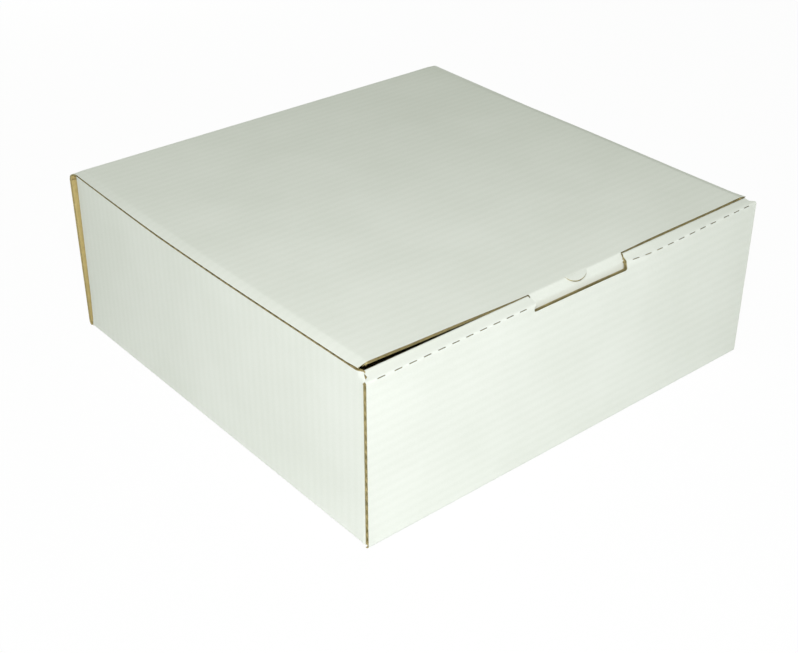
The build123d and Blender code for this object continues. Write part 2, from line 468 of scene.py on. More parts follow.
def lock_lugs(depth):
    """Cuts two slots in the base and pulls the inner wall's lugs down into them."""
    slot_half, slot_reach = lug_half + lug_gap, board / 2 + lug_gap
    middle = inner_wall_face - board / 2
    foot = board + layer_gap
    score_lugs(slot_half)
    score("Y", (middle - slot_reach, middle + slot_reach))
    pick("FACE", lambda x, y, z: near(z, depth) and abs(abs(x) - lug_offset) < slot_half
         and abs(y - middle) < slot_reach)
    bpy.ops.mesh.delete(type="FACE")
    score_lugs(lug_half)
    pick("EDGE", lambda x, y, z: near(z, foot) and near(y, inner_wall_face - depth)
         and abs(abs(x) - lug_offset) < lug_half)
    pull((0, 0, lug_foot - foot))


print("lugs", round(2 * lug_half / mm), "mm wide")

# %% [markdown]
# A side wall turns the corner at both ends into a flap. The front flap is held between the two front
# walls; the rear one lies inside the back wall. The top of the front fold dips a little, because the
# rolled strip presses on it. Both ends are alike but for that dip, so one function pulls them.

# %% Corner flaps
side_wall_top = lid_underside - 0.9 * mm
corner_fold_foot = 2.5 * mm
front_fold_dip = 3.6 * mm
corner_flap_foot = 7 * mm
corner_flap_top = lid_top - 9 * mm
corner_flap_length = 70 * mm
corner_flap_taper = 10 * mm


def pull_corner_flap(out, end, corner, side):
    """Turns one end of the open side wall round its corner and on into a tapered flap."""
    turned = out - side * (fold_radius + board / 2)
    tip = side * (half_width - corner_flap_length)
    tall = corner_flap_top - corner_flap_foot
    pick("EDGE", lambda x, y, z: near(x, out) and near(y, end) and z > corner_fold_foot)
    pull((0, corner - end, 0))
    pull((turned - out, 0, 0))
    if corner < 0:
        pick("VERT", lambda x, y, z: near(y, corner) and near(z, side_wall_top))
        bpy.ops.transform.translate(value=(0, 0, -front_fold_dip))
    pick("EDGE", lambda x, y, z: near(x, turned) and near(y, corner)
         and corner_flap_foot < z < corner_flap_top)
    pull((tip - turned, 0, 0))
    bpy.ops.transform.resize(value=(1, 1, (tall - 2 * corner_flap_taper) / tall))


print("corner flaps", round(corner_flap_length / mm), "mm long")

# %% [markdown]
# The wall itself is pulled up from its strip of the base. Once its folds are round, the bottoms of the
# corner folds are pulled down nearly to the floor, and the tips of the flaps are rounded.

# %% Fold a side wall
front_flap_face = -half_depth + board + layer_gap
rear_flap_face = half_depth - board - 0.6 * mm
corner_fold_toe = 0.8 * mm
corner_flap_tip_cut = 8.5 * mm


def fold_side(name, depth, side):
    """One side wall with its corner flaps, from the strip of base that it folds up from."""
    out, inner = side * (half_width - depth), side * (half_width - side_fold_width)
    radius = radius_at(fold_radius, depth)
    front, rear = front_flap_face + depth, rear_flap_face - depth
    front_end, rear_end = front + radius, rear - radius
    sheet = lay_sheet(name, (min(out, inner), front_end), (max(out, inner), rear_end), depth)
    pick("EDGE", lambda x, y, z: near(x, out))
    pull((0, 0, side_wall_top - depth))
    score("Z", (corner_fold_foot, corner_flap_foot, corner_flap_top))
    pull_corner_flap(out, front_end, front, side)
    pull_corner_flap(out, rear_end, rear, side)
    round_fold(radius, pi / 2, lambda x, y, z: near(x, out) and near(z, depth))
    for corner in (front, rear):
        round_fold(radius, pi / 2, lambda x, y, z: near(x, out) and near(y, corner))
    pick("EDGE", lambda x, y, z: near(z, corner_fold_foot) and not front_end < y < rear_end)
    pull((0, 0, corner_fold_toe - corner_fold_foot))
    pick("VERT", lambda x, y, z: near(x, side * (half_width - corner_flap_length)))
    bpy.ops.mesh.bevel(offset=corner_flap_tip_cut, segments=6, affect="VERTICES")
    return sheet


print("side walls", round(side_wall_top / mm, 1), "mm high")

# %% [markdown]
# Folding leaves the faces pointing either way. The outer paper has to face out and the inner one into
# the box, so the faces are made consistent and then turned where one known face points the wrong way.
# Only then does Solidify give the paper its thickness, behind the face.

# %% Turn the faces and give the paper its thickness


def face_towards(sheet, direction, where):
    """Makes the open sheet's faces agree, then turns them if the picked ones face the other way."""
    bpy.ops.mesh.select_all(action="SELECT")
    bpy.ops.mesh.remove_doubles(threshold=tiny / 4)
    bpy.ops.mesh.normals_make_consistent(inside=False)
    pick("FACE", where)
    shape = bmesh.from_edit_mesh(sheet.data)
    picked = [face for face in shape.faces if face.select]
    if sum(face.normal.dot(direction) * face.calc_area() for face in picked) < 0:
        bpy.ops.mesh.select_all(action="SELECT")
        bpy.ops.mesh.flip_normals()
    close_mesh()


def thicken(sheet, face_finish, thickness=paper):
    """Gives the paper its thickness behind the face, brown at the back and raw at the rim."""
    for finish in (face_finish, kraft, cut_edge):
        sheet.data.materials.append(finish)
    apply(sheet, "SOLIDIFY", thickness=thickness, offset=-1, use_even_offset=True, material_offset=1,
          material_offset_rim=2)


print("paper", paper / mm, "mm thick")

# %% [markdown]
# Now the sheets are folded, each at its own depth in the board. They are scored in rows, which are close
# together where the board will be bent most: under the front fold and at the pinched front corners.

# %% Papers of the tray
bow_lines = [step * 15 * mm for step in range(-10, 11)]
bow_levels = [level * mm for level in (25, 50, 75, 100, 104, 105, 106)]
pinch_lines = [line * mm for line in (-140.5, -142, -143, -144, -145, -146)]
pinch_levels = [level * mm for level in (107, 108, 108.8)]


def wrap_paper(name, depth, finish, outward):
    """The sheet from the hinge round to the inner front wall, at one depth in the board."""
    sheet = fold_wrap(name, depth)
    narrow_base(depth)
    lock_lugs(depth)
    score("X", bow_lines)
    score("Y", bow_lines)
    score("Z", bow_levels)
    face_towards(sheet, Vector((0, 0, -outward)), lambda x, y, z: near(z, depth))
    thicken(sheet, finish)
    return sheet


def side_paper(name, depth, finish, outward):
    """Both side walls with their corner flaps, at one depth in the board."""
    walls = []
    for side in (-1, 1):
        wall = fold_side(name, depth, side)
        face = side * (half_width - depth)
        score("Y", bow_lines + pinch_lines)
        score("Z", bow_levels + pinch_levels)
        face_towards(wall, Vector((side * outward, 0, 0)), lambda x, y, z: near(x, face))
        thicken(wall, finish)
        walls.append(wall)
    return walls


wrap_outer = wrap_paper("wrap_outer", 0, white, 1)
wrap_inner = wrap_paper("wrap_inner", board, kraft, -1)
sides_outer = side_paper("side_outer", 0, white, 1)
sides_inner = side_paper("side_inner", board, kraft, -1)
print("tray papers", len(wrap_outer.data.polygons), len(wrap_inner.data.polygons), "faces")

# %% [markdown]
# ## Folding the lid's papers
# The lid lies on the side walls. Its edges are crushed flat by the crease, so they slope down to a thin
# bead that overhangs the wall, and then the side flaps go down inside. These flaps have slanted ends, so
# that they find their way in; two bisecting planes cut them.

# %% Fold lines of the lid and its side flaps
lid_front = inner_wall_face + 0.3 * mm
lid_rear = half_depth - hinge_band
flap_face = half_width - board - 0.4 * mm
flap_end_inset = 4 * mm
flap_taper = 8 * mm
bead_rise = 0.25 * mm
bead_lift = 0.15 * mm
bead_slope = 5.5 * mm
bead_radius = 0.4 * mm
slope_radius = 6 * mm
edge_overhang = 0.6 * mm
bead = Vector((lid_half + edge_overhang + 2.5 * bead_radius, lid_underside + bead_rise))
bead_root = Vector((flap_face, lid_underside - bead_lift))
slope_end = Vector((lid_half - bead_slope, lid_top))


def trim_flaps():
    """Cuts the slanted ends of the side flaps."""
    front, rear = lid_front + flap_end_inset, rear_flap_face - board - flap_end_inset
    for place, slant in ((front, 1), (rear, -1)):
        pick("FACE", lambda x, y, z: abs(x) < half_width and z < lid_underside - tiny * 5)
        normal = Vector((0, -slant * (lid_underside - flap_tip), -flap_taper)).normalized()
        bpy.ops.mesh.bisect(plane_co=(0, place, lid_underside), plane_no=normal, clear_outer=True)


print("flaps", round((lid_underside - flap_tip) / mm, 1), "mm deep")

# %% [markdown]
# The tuck tab folds down at the front of the lid: a slanted face that bulges a little where the board
# resists the bend, and then a tongue behind the front wall, with rounded corners to slip in easily.

# %% Tuck tab
notch_half = 36.8 * mm
notch_floor = lid_top - 8.9 * mm
tab_half = notch_half - 0.8 * mm
tab_bend = Vector((-half_depth + board + 0.4 * mm, notch_floor + 0.1 * mm))
tab_tip = tab_bend + Vector((3.1, -25.0)) * mm
tab_bulge = (tab_bend + Vector((lid_front, lid_top))) / 2 + Vector((-1.0, 0.65)) * mm
tab_bulge_radius = 3 * mm
tab_corner_radius = 12 * mm
tab_line = [tab_tip, tab_bend, tab_bulge, (lid_front, lid_top), (lid_rear, lid_top)]


def fold_tab(depth):
    """Pulls the tab down from the middle of the open lid's front edge."""
    path = inset(tab_line, depth)
    tip, bend, bulge, crease, _ = path
    pick("EDGE", lambda x, y, z: near(y, lid_front) and abs(x) < tab_half)
    bpy.ops.transform.translate(value=(0, crease.x - lid_front, 0))
    for before, after in ((crease, bulge), (bulge, bend), (bend, tip)):
        pull((0, *(after - before)))
    for corner, full in ((1, perforated_fold_radius), (2, tab_bulge_radius), (3, perforated_fold_radius)):
        point = path[corner]
        round_fold(radius_at(full, depth), turn_at(path, corner),
                   lambda x, y, z: near(y, point.x) and near(z, point.y) and abs(x) < tab_half)
    pick("VERT", lambda x, y, z: near(z, tip.y) and near(abs(x), tab_half))
    bpy.ops.mesh.bevel(offset=tab_corner_radius, segments=8, affect="VERTICES")


print("tab", round(2 * tab_half / mm, 1), "mm wide")

# %% [markdown]
# The two papers part at the lid's edges: the outer one goes out to the bead and back, the inner one
# folds straight down into the flap. So each is folded by its own function.

# %% Outer paper of the lid


def fold_lid_outer(name):
    sheet = lay_sheet(name, (-slope_end.x, lid_front), (slope_end.x, lid_rear), lid_top)
    score("X", (-tab_half, tab_half))
    for side in (-1, 1):
        pick("EDGE", lambda x, y, z: near(x, side * slope_end.x))
        pull((side * (bead.x - slope_end.x), 0, bead.y - slope_end.y))
        pull((side * (bead_root.x - bead.x), 0, bead_root.y - bead.y))
        pull((0, 0, flap_tip - bead_root.y))
    section = [Vector((bead_root.x, flap_tip)), bead_root, bead, slope_end, Vector((0, lid_top))]
    for corner, radius in ((1, tightest_fold), (2, bead_radius), (3, slope_radius)):
        point = section[corner]
        round_fold(radius, turn_at(section, corner),
                   lambda x, y, z: near(abs(x), point.x) and near(z, point.y))
    trim_flaps()
    score("X", bow_lines)
    score("Y", bow_lines)
    fold_tab(0)
    face_towards(sheet, Vector((0, 0, 1)), lambda x, y, z: near(z, lid_top))
    return sheet


lid_outer = fold_lid_outer("lid_outer_paper")
thicken(lid_outer, white)
print("outer paper of the lid", len(lid_outer.data.polygons), "faces")

# %% [markdown]
# The inner paper is cut and folded in the same order, without the slope and the bead.

# %% Inner paper of the lid


def fold_lid_inner(name):
    inside = flap_face - board
    sheet = lay_sheet(name, (-inside, lid_front), (inside, lid_rear), lid_underside)
    score("X", (-tab_half, tab_half))
    for side in (-1, 1):
        pick("EDGE", lambda x, y, z: near(x, side * inside))
        pull((0, 0, flap_tip - lid_underside))
    round_fold(tightest_fold, pi / 2, lambda x, y, z: near(abs(x), inside) and near(z, lid_underside))
    trim_flaps()
    score("X", bow_lines)
    score("Y", bow_lines)
    fold_tab(board)
    face_towards(sheet, Vector((0, 0, -1)), lambda x, y, z: near(z, lid_underside))
    return sheet


lid_inner = fold_lid_inner("lid_inner_paper")
thicken(lid_inner, kraft)
print("inner paper of the lid", len(lid_inner.data.polygons), "faces")

# %% [markdown]
# ## The wave inside the board
# The middle paper is a wave, and its ends show at every cut edge as a row of small arches. One wave is
# modelled by lifting the strips of a grid, then repeated by an Array and given its thickness. The flutes
# run across the base, lid, front and back, and upright in the side walls.

# %% One panel of flutes
wave_steps = 8
side_on = Matrix(((0, 0, 1), (1, 0, 0), (0, 1, 0)))


def flutes(name, length, ends, turn, start, divisions=8, trim=None):
    """A panel of waves: length across the flutes, ends along them, turned and put at its start."""
    waves = max(1, round(length / flute_pitch))
    pitch = length / waves
    bpy.ops.object.select_all(action="DESELECT")
    bpy.ops.mesh.primitive_grid_add(x_subdivisions=wave_steps, y_subdivisions=divisions, size=1)
    panel = bpy.context.object
    panel.name = name
    panel.scale = (pitch, ends[1] - ends[0], 1)
    panel.location = (pitch / 2, (ends[0] + ends[1]) / 2, 0)
    bpy.ops.object.transform_apply(location=True, rotation=True, scale=True)
    open_mesh(panel)
    for step in range(1, wave_steps):
        pick("VERT", lambda x, y, z: near(x, pitch * step / wave_steps))
        bpy.ops.transform.translate(value=(0, 0, wave_height * sin(2 * pi * step / wave_steps)))
    close_mesh()
    apply(panel, "ARRAY", count=waves, use_merge_vertices=True, merge_threshold=tiny)
    panel.matrix_world = Matrix.Translation(start) @ turn.to_4x4()
    make_active(panel)
    bpy.ops.object.transform_apply(location=True, rotation=True, scale=True)
    if trim:
        open_mesh(panel)
        trim()
        close_mesh()
    apply(panel, "SOLIDIFY", thickness=medium, offset=0)
    panel.data.materials.append(wave_paper)
    return panel


def flutes_along(name, start, end, half, divisions=8, trim=None):
    """Waves that run from side to side, in a panel between two points of its section."""
    run = end - start
    across = run.normalized()
    turn = Matrix(((0, 1, 0), (across.x, 0, across.y), (across.y, 0, -across.x)))
    return flutes(name, run.length, (-half, half), turn, (0, *start), divisions, trim)


print("a wave has", wave_steps, "steps over", flute_pitch / mm, "mm")

# %% [markdown]
# The panels follow the same folded line as the papers, half a board deep, and stop short of each fold,
# where the die has crushed the wave.

# %% Flutes of the base, back and front
half_board = board / 2
recess = 0.2 * mm
crushed = 0.5 * mm
edge_row = fold_radius + 0.4 * mm
wall_end = half_width - recess
base_end = half_width - side_fold_width - edge_row
rolled_end = inner_wall_half - recess


def join(pieces, name):
    make_active(pieces[0])
    for piece in pieces[1:]:
        piece.select_set(True)
    if len(pieces) > 1:
        bpy.ops.object.join()
    pieces[0].name = name
    return pieces[0]


wrap_waves = []
middle_path = inset(wrap_path, half_board)
panel_halves = (wall_end, base_end, wall_end, rolled_end, rolled_end)
for number, half in enumerate(panel_halves):
    before, after = middle_path[number], middle_path[number + 1]
    run = (after - before).normalized()
    first = recess if number == 0 else crushed
    last = recess if number == len(panel_halves) - 1 else crushed
    wrap_waves.append(flutes_along("panel", before + run * first, after - run * last, half))
wrap_flutes = join(wrap_waves, "wrap_flutes")
print("flutes of the long sheet", len(wrap_flutes.data.polygons), "faces")

# %% [markdown]
# The flutes that cross the base turn up with the side walls, so there and in the corner flaps they stand
# upright. The flaps' waves are trimmed to the slanted top and bottom of their papers.

# %% Flutes of the side walls
flap_root = half_width - 2 * edge_row
flap_wave_length = corner_flap_length - 2 * edge_row - 8 * mm
wall_wave_length = rear_flap_face - front_flap_face - 2 * edge_row


def trim_corner_flap(side):
    """Cuts the slanted top and bottom of a corner flap's flutes."""
    root = side * (half_width - fold_radius - half_board)
    slant = corner_flap_length - fold_radius - half_board
    for level, up in ((corner_flap_top - recess, 1), (corner_flap_foot + recess, -1)):
        bpy.ops.mesh.select_all(action="SELECT")
        bpy.ops.mesh.bisect(plane_co=(root, 0, level), plane_no=(-side * corner_flap_taper, 0, up * slant),
                            clear_outer=True)


side_waves = []
for side in (-1, 1):
    place = (side * (half_width - half_board), front_flap_face + edge_row, 0)
    side_waves.append(flutes("wall", wall_wave_length, (edge_row, side_wall_top - recess), side_on, place))
    for face in (front_flap_face + half_board, rear_flap_face - half_board):
        turn = Matrix(((-side, 0, 0), (0, 0, side), (0, 1, 0)))
        side_waves.append(flutes("flap", flap_wave_length, (corner_flap_foot, corner_flap_top), turn,
                                 (side * flap_root, face, 0), 4, lambda: trim_corner_flap(side)))
side_flutes = join(side_waves, "side_flutes")
print("flutes of the side walls", len(side_flutes.data.polygons), "faces")

# %% [markdown]
# In the lid and its tab the flutes run from side to side too, and the tab has a short panel for each of
# its runs. Those stay apart for now, because the half-moon is still to be cut through them, and a Boolean
# works best on one closed shell at a time.

# %% Flutes of the lid
lid_flat = slope_end.x - recess
tab_flat = tab_half - recess
fold_room = 1 * mm
flap_wave_half = 140 * mm


def trim_tab():
    """Cuts the tongue's corners, inside its rounded paper."""
    leg = tab_corner_radius * (2 - 2 ** 0.5)
    for side in (-1, 1):
        bpy.ops.mesh.select_all(action="SELECT")
        bpy.ops.mesh.bisect(plane_co=(side * (tab_half - leg), 0, tab_tip.y), plane_no=(side, 0, -1),
                            clear_outer=True)


tab_path = inset(tab_line, half_board)
lid_edge = Vector((lid_front + recess, lid_top - half_board))
lid_waves = [flutes_along("lid", lid_edge, tab_path[-1], lid_flat, 20)]
tab_waves = []
for before, after, trim in zip(tab_path, tab_path[1:4], (trim_tab, None, None)):
    room = (after - before).normalized() * fold_room
    tab_waves.append(flutes_along("tab", before + room, after - room, tab_flat, 4, trim))
for side in (-1, 1):
    lid_waves.append(flutes("flap", 2 * flap_wave_half, (flap_tip + recess, lid_underside - edge_row),
                            side_on, (side * (flap_face - half_board), -flap_wave_half, 0), 4, trim_flaps))
print("lid flutes in", len(lid_waves), "panels, tab in", len(tab_waves))

# %% [markdown]
# At the lid's front corners, ahead of the flaps, the crushed edge shows its brown core: a block whose
# outer edge is pressed down to the slope of the paper above it.

# %% Core of the lid's crushed front corners


def block(name, low, high, finish):
    """A block between two corners, a start for a core or for a cutter."""
    bpy.ops.object.select_all(action="DESELECT")
    bpy.ops.mesh.primitive_cube_add(size=1)
    piece = bpy.context.object
    piece.name = name
    piece.scale = [top - bottom for bottom, top in zip(low, high)]
    piece.location = [(top + bottom) / 2 for bottom, top in zip(low, high)]
    bpy.ops.object.transform_apply(location=True, rotation=True, scale=True)
    piece.data.materials.append(finish)
    return piece


core_front, core_rear = lid_front + recess, lid_front + flap_end_inset - recess
core_high = lid_top - paper - tiny
for side in (-1, 1):
    inner, outer = side * (slope_end.x - recess), side * (lid_half - recess)
    core = block("core", (min(inner, outer), core_front, lid_underside),
                 (max(inner, outer), core_rear, core_high), wave_paper)
    open_mesh(core)
    pick("EDGE", lambda x, y, z: near(x, outer) and near(z, core_high))
    bpy.ops.transform.translate(value=(0, 0, bead.y - paper - core_high))
    close_mesh()
    lid_waves.append(core)
print("cores", round((core_rear - core_front) / mm, 1), "mm long")

# %% [markdown]
# ## What the die cuts out
# The front wall has a notch for the tab and, in its inner wall, a deeper window that the tongue slips
# into. They could be left out while folding, but a Boolean through the finished layers cuts paper and
# flutes alike, and the cutter's own finish becomes the raw edge. On this box the notch reaches a little
# further to the left than the tab needs, and its ends lean to the right.

# %% Notch and window
overcut = 2 * mm
notch_slip = 1.5 * mm
notch_lean = 3.4 * mm
notch_corner_radius = 1.5 * mm
pocket_back = inner_wall_face - board
window_floor = tab_tip.y - 5 * mm


def cut(cutter, *pieces):
    for piece in pieces:
        apply(piece, "BOOLEAN", object=cutter, operation="DIFFERENCE", solver="EXACT",
              material_mode="TRANSFER")
    bpy.data.objects.remove(cutter)


def round_corners(cutter, radius, height):
    open_mesh(cutter)
    pick("EDGE", lambda x, y, z: near(z, height) and abs(x) > notch_half - tiny)
    bpy.ops.mesh.bevel(offset=radius, segments=6, affect="EDGES")
    close_mesh()


notch = block("notch", (-notch_half - notch_slip, -half_depth - overcut, notch_floor),
              (notch_half, inner_wall_face + overcut, lid_top), cut_edge)
round_corners(notch, notch_corner_radius, notch_floor)
open_mesh(notch)
pick("VERT", lambda x, y, z: near(z, lid_top))
bpy.ops.transform.translate(value=(notch_lean, 0, 0))
close_mesh()
cut(notch, wrap_outer, wrap_inner, wrap_flutes)
window = block("window", (-notch_half, pocket_back, window_floor),
               (notch_half, inner_wall_face + overcut, lid_top), cut_edge)
round_corners(window, tab_corner_radius, window_floor)
cut(window, wrap_outer, wrap_inner, wrap_flutes)
print("cut the notch and its window,", round((lid_top - window_floor) / mm, 1), "mm deep")

# %% [markdown]
# ### Perforated folds
# So that the front wall rolls over on a straight line, the die perforates both of its folds with short
# slits. One slit is a thin block on the bisector of the fold; an Array repeats it along the row.

# %% Slits
slit_length = 5 * mm
slit_pitch = 9.75 * mm
slit_width = 0.5 * mm
slit_depth = 1.6 * mm
slit_groups = ((-145.6, 1), (-134.5, 10), (45.5, 8), (126.3, 3))
slit_corner = Vector((slit_length, slit_width, slit_depth)) / 2
slit_rows = []
for corner in (3, 4):
    point = Vector(wrap_path[corner])
    run_in = (point - Vector(wrap_path[corner - 1])).normalized()
    run_out = (Vector(wrap_path[corner + 1]) - point).normalized()
    along = (run_in + run_out).normalized()
    outward = Vector((-along.y, along.x))
    on_arc = point - outward * perforated_fold_radius * (1 / cos(run_in.angle(run_out) / 2) - 1)
    turn = Matrix(((1, 0, 0), (0, along.x, outward.x), (0, along.y, outward.y)))
    for first, count in slit_groups:
        slit = block("slit", -slit_corner, slit_corner, cut_edge)
        slit.matrix_world = Matrix.Translation((first * mm, *on_arc)) @ turn.to_4x4()
        bpy.ops.object.transform_apply(location=True, rotation=True, scale=True)
        apply(slit, "ARRAY", count=count, use_relative_offset=False, use_constant_offset=True,
              constant_offset_displace=(slit_pitch, 0, 0))
        slit_rows.append(slit)
cut(join(slit_rows, "slits"), wrap_outer)
print("cut", 2 * sum(count for _, count in slit_groups), "slits")

# %% [markdown]
# ### Thumb lip
# A half-moon is cut out of the tab on three sides. It stays flat with the lid when the tab folds down, so
# it stands forward as a lip for the thumb and leaves its hole in the tab. The cutter is a cylinder square
# to the tab, cut off at the crease.

# %% Hole of the thumb lip
lip_half = 8.2 * mm
lip_reach = 4.9 * mm
lip_middle = 1 * mm
lip_radius = (lip_half ** 2 + lip_reach ** 2) / (2 * lip_reach)
lip_setback = lip_radius - lip_reach
lip_sides = 64
tab_crease = Vector((lip_middle, lid_front, lid_top))
down_tab = Vector((0, tab_bulge.x - lid_front, tab_bulge.y - lid_top)).normalized()
through_tab = Vector((1, 0, 0)).cross(down_tab)
tab_turn = Matrix((Vector((1, 0, 0)), down_tab, through_tab)).transposed()
bpy.ops.object.select_all(action="DESELECT")
bpy.ops.mesh.primitive_cylinder_add(vertices=lip_sides, radius=lip_radius, depth=4 * board)
half_moon = bpy.context.object
half_moon.matrix_world = Matrix.Translation(tab_crease - down_tab * lip_setback) @ tab_turn.to_4x4()
bpy.ops.object.transform_apply(location=True, rotation=True, scale=True)
half_moon.data.materials.append(cut_edge)
open_mesh(half_moon)
bpy.ops.mesh.select_all(action="SELECT")
bpy.ops.mesh.bisect(plane_co=tab_crease, plane_no=down_tab, clear_inner=True, use_fill=True)
close_mesh()
cut(half_moon, lid_outer, lid_inner, *tab_waves[1:])
lid_flutes = join(lid_waves + tab_waves, "lid_flutes")
print("lid flutes", len(lid_flutes.data.polygons), "faces")

# %% [markdown]
# The lip is the same circle laid flat, cut off a little behind the crease so that it grows out of the
# lid's paper, and thinner than the board, because the die has crushed it.

# %% Lip
lip_board = 0.5 * mm
lip_overlap = 1 * mm
lip_lift = 0.04 * mm
bpy.ops.object.select_all(action="DESELECT")
bpy.ops.mesh.primitive_circle_add(vertices=lip_sides, radius=lip_radius, fill_type="NGON",
                                  location=(lip_middle, lid_front + lip_setback, lid_top + lip_lift))
thumb_lip = bpy.context.object
thumb_lip.name = "thumb_lip"
bpy.ops.object.transform_apply(location=True, rotation=True, scale=True)
open_mesh(thumb_lip)
bpy.ops.mesh.select_all(action="SELECT")
bpy.ops.mesh.bisect(plane_co=(0, lid_front + lip_overlap, 0), plane_no=(0, 1, 0), clear_outer=True)
face_towards(thumb_lip, Vector((0, 0, 1)), lambda x, y, z: True)
thicken(thumb_lip, white, lip_board)
print("lip", round(2 * lip_half / mm), "mm wide")

# %% [markdown]
# ### Hinge crease
# Back wall and lid are one sheet, and the lid turns on the crease between them. The crease is a short
# strip of its own, from the wall over the edge on to the lid.

# %% Hinge crease
crease_board = 1.2 * mm
hinge_crease = lay_sheet("hinge_crease", (-half_width, lid_rear), (half_width, half_depth), lid_top)
pick("EDGE", lambda x, y, z: near(y, half_depth))
pull((0, 0, -hinge_band))
round_fold(fold_radius, pi / 2, lambda x, y, z: near(y, half_depth) and near(z, lid_top))
score("X", [-slope_end.x, slope_end.x, *bow_lines])
face_towards(hinge_crease, Vector((0, 0, 1)), lambda x, y, z: near(z, lid_top))
thicken(hinge_crease, white, crease_board)
print("crease", len(hinge_crease.data.polygons), "faces")

# %% [markdown]
# ## Settling
# No card box is square. The left wall leans in towards the back, the lid sags where the tab holds it
# down and its front left corner stands up. Lattices or sculpting could do this by hand; here small smooth
# moves of the vertices do it, the same for every paper so that the layers stay together. First come the
# smooth shapes that the moves are made of.

# %% Smooth steps and humps


def ease(value, start, end):
    """0 before the start and 1 after the end, with a smooth step."""
    share = min(max((value - start) / (end - start), 0), 1)
    return share * share * (3 - 2 * share)


def bump_at(value, middle, spread):
    """A smooth hump, 1 at its middle."""
    return exp(-(((value - middle) / spread) ** 2))


print("a step is", ease(0.25, 0, 1), "at a quarter of its way")

# %% [markdown]
# Walls and lid share three moves. The left side leans in from its fold, the top edges climb towards the
# hinge, and the lid hangs down towards its front edge, most where the tab pulls it.

# %% Lean, rise and droop
left_lean_back = 2.5 * mm
left_lean_front = 1.3 * mm
lean_back_start, lean_back_run, lean_back_curve = -10 * mm, 160 * mm, 1.8
lean_front_start, lean_front_run, lean_front_curve = -25 * mm, 120 * mm, 1.3
lean_at_foot = 0.3
foot_levels = (0, 12 * mm)
edge_rise = 2.3 * mm
rise_start, rise_run = 50 * mm, 100 * mm
front_sag = 0.8 * mm
tab_pulls = ((1.95 * mm, -38 * mm, 48 * mm), (0.9 * mm, 25 * mm, 28 * mm))
right_sag, right_sag_ends = 0.8 * mm, (-120 * mm, 80 * mm)
right_corner_lift, right_end = 0.4 * mm, (120 * mm, 150 * mm)
left_corner_lift, left_end = 0.9 * mm, (110 * mm, 150 * mm)
sag_row = (-20 * mm, 140 * mm)


def lean(y, z):
    """How far the left side stands in from its fold."""
    back = max((y - lean_back_start) / lean_back_run, 0) ** lean_back_curve
    front = min(max((lean_front_start - y) / lean_front_run, 0), 1) ** lean_front_curve
    upward = lean_at_foot + (1 - lean_at_foot) * z / lid_top
    return (left_lean_back * back + left_lean_front * front) * upward * ease(z, *foot_levels)


def rise(y):
    """How far the walls' top edges, and the lid's edges on them, climb towards the hinge."""
    return edge_rise * min(max((y - rise_start) / rise_run, 0), 1)


def droop(x, y):
    """How far the lid hangs down towards its front edge, most where the tab pulls it."""
    sag = front_sag + sum(depth * bump_at(x, place, spread) for depth, place, spread in tab_pulls)
    sag += right_sag * ease(x, *right_sag_ends) - right_corner_lift * ease(x, *right_end)
    sag -= left_corner_lift * ease(-x, *left_end)
    return sag * ease(-y, *sag_row)


print("lid sags", round(droop(-38 * mm, lid_front) / mm, 1), "mm beside the tab")

# %% [markdown]
# The two folds of the rolled front wall are not level, and the wall is pressed in at the right end of
# the notch. The rows and levels say over which stretch of the depth and of the height a move fades in.

# %% Moves of the front wall
crease_lift = -0.15 * mm
crease_tilt = 1.23 * mm
crease_dip, crease_dip_place = 1.1 * mm, (60 * mm, 45 * mm)
crest_drop = 0.75 * mm
crest_tilt = 0.65 * mm
tilt_half = 150 * mm
rolled_row, rolled_levels = (143 * mm, 144.5 * mm), (20 * mm, 100 * mm)
crease_row, crest_row = (146 * mm, 152 * mm), (-152 * mm, -147 * mm)
notch_press, press_place = 1.8 * mm, (notch_half, 14 * mm)
press_row, press_levels = (146 * mm, 150 * mm), (notch_floor, 107.5 * mm)


def settle_wrap(x, y, z):
    rolled = ease(-y, *rolled_row) * ease(z, *rolled_levels)
    across = x / tilt_half
    crease = crease_lift + crease_tilt * across - crease_dip * bump_at(x, *crease_dip_place)
    crest = crest_tilt * across - crest_drop
    z += (crease * ease(-y, *crease_row) + crest * ease(y, *crest_row)) * rolled
    pressed = bump_at(x, *press_place) * ease(z, *press_levels) * ease(-y, *press_row)
    return x, y + notch_press * pressed, z


print("front fold tilts", round(2 * crease_tilt / mm, 1), "mm from end to end")

# %% [markdown]
# The side walls lean, follow the lid's edge, and are pinched where they turn into their front flaps. The
# pinch draws the round of the fold in towards its middle, as a thumb would press it.

# %% Moves of the side walls
corner_lift = 0.6 * mm
corner_dip = 0.8 * mm
corner_pinch = 0.6
corner_row, pinch_row = (142 * mm, 148 * mm), (144 * mm, 148 * mm)
pinch_rise = (side_wall_top - 5 * mm, side_wall_top)
wall_ends, wall_levels = (inner_wall_half - 3 * mm, inner_wall_half), (60 * mm, side_wall_top)
lean_row, lean_ends = (-151.5 * mm, -148 * mm), (120 * mm, 150 * mm)


def settle_side(x, y, z):
    side = 1 if x > 0 else -1
    pinch = corner_pinch * ease(z, *pinch_rise) * ease(-y, *pinch_row)
    middle_x, middle_y = side * (half_width - fold_radius), front_flap_face + fold_radius
    if abs(x) > abs(middle_x):
        x += (middle_x - x) * pinch
        y += max(middle_y - y, 0) * pinch
    at_corner = (corner_lift if x < 0 else -corner_dip) * ease(-y, *corner_row)
    on_wall = ease(abs(x), *wall_ends) * ease(z, *wall_levels)
    z += (rise(y) - droop(x, y) + at_corner) * on_wall
    if x < 0:
        x += lean(y, z) * ease(y, *lean_row) * ease(-x, *lean_ends)
    return x, y, z


print("front corners pinched by", corner_pinch, "of their radius")

# %% [markdown]
# The lid droops, its front edge is crushed thinner, and the tab pulls it a little to the right. The lip
# bends down with it, most at its left. The hinge crease has to keep both its neighbours company, so it
# takes the wall's move at one end and the lid's at the other.

